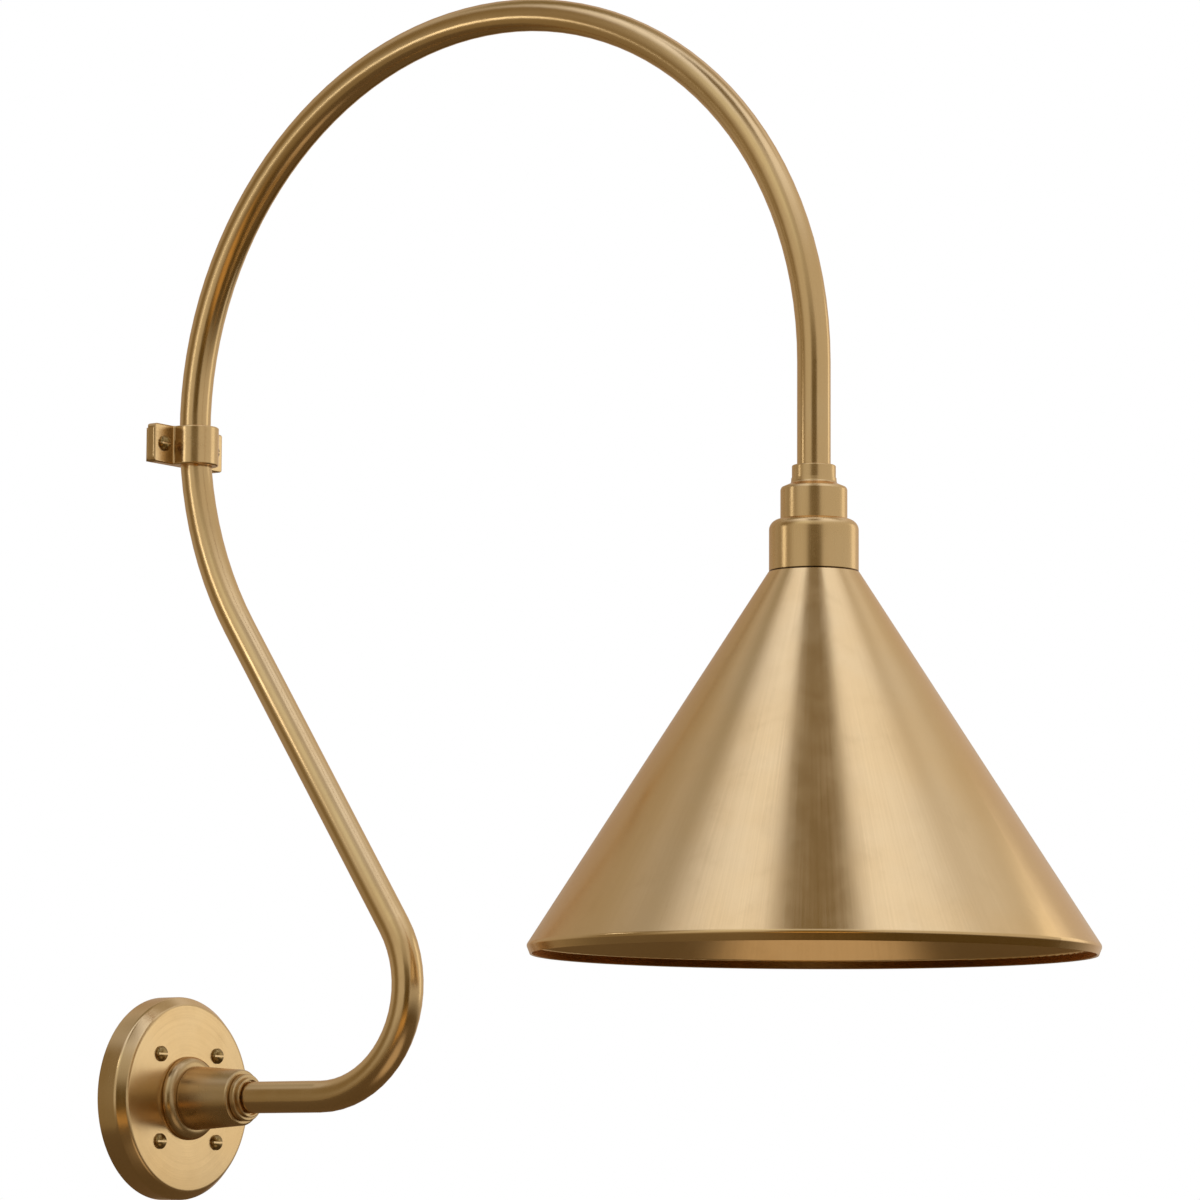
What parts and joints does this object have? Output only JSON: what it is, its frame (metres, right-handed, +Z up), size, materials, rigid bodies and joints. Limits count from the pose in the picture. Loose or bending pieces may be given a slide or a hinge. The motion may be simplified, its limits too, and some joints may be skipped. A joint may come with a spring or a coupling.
{
  "type": "gooseneck wall sconce",
  "caption": "Wall light with a round wall plate, a tall gooseneck tube steadied by a wall clip, and a wide conical metal shade hanging over a screw-in bulb.",
  "frame": {"origin": "centre of the wall plate's back, on the wall's surface", "axes": "+X out of the wall towards the shade, +Z up, Y along the wall; the arm bends in the plane Y = 0"},
  "size_m": [0.6356, 0.3214, 0.7109],
  "materials": {
    "burnished_brass": "burnished, brushed",
    "plain_brass": "bright turned",
    "zinc_steel": "zinc plated",
    "green_steel": "green plated",
    "black_lead": "satin",
    "white_lead": "satin",
    "green_lead": "satin",
    "connector_plastic": "satin",
    "porcelain": "glazed",
    "opal_glass": "opal",
    "bright_cap": "bright",
    "black_glass": "glossy",
    "solder": "dull"
  },
  "bodies": {
    "fixture": {"wall_plate": "burnished_brass", "mounting_plate": "zinc_steel", "mount_nuts": "zinc_steel", "earth_screw": "green_steel", "plate_screws": "burnished_brass", "hub_base_ring": "burnished_brass", "hub_body": "burnished_brass", "hub_washer": "zinc_steel", "hub_lock_nut": "zinc_steel", "arm_lock_ring": "burnished_brass", "gooseneck_arm": "burnished_brass", "lead_live": "black_lead", "lead_neutral": "white_lead", "lead_earth": "green_lead", "wire_connectors": "connector_plastic", "clip_base": "burnished_brass", "clip_saddle": "burnished_brass", "clip_screws": "burnished_brass", "arm_end_collar": "burnished_brass", "socket_neck": "burnished_brass", "socket_cup": "burnished_brass", "head_nipple": "plain_brass", "head_lock_nut": "zinc_steel", "holder_cap": "zinc_steel", "cap_earth_screw": "green_steel", "holder_screws": "zinc_steel", "lampholder_body": "porcelain", "terminal_plates": "plain_brass", "terminal_screws": "plain_brass", "screw_shell": "plain_brass", "centre_contact": "plain_brass", "shade": "burnished_brass", "shade_ring": "burnished_brass"},
    "bulb_travel": {"bulb_contact": "solder"},
    "bulb": {"bulb_glass": "opal_glass", "bulb_cap": "bright_cap", "bulb_insulator": "black_glass"}
  },
  "joints": [
    {"name": "bulb_slide", "type": "slide", "parent": "fixture", "child": "bulb_travel", "axis": [0, 0, -1], "range_m": [0, 0.01814]},
    {"name": "bulb_turn", "type": "hinge", "parent": "bulb_travel", "child": "bulb", "pos_m": [0.47488, 0, 0.25], "axis": [0, 0, -1], "range_deg": [0, 1800]}
  ],
  "couplings": [
    {"joint": "bulb_turn", "follows": "bulb_slide", "rad_per_m": 1731.4}
  ]
}
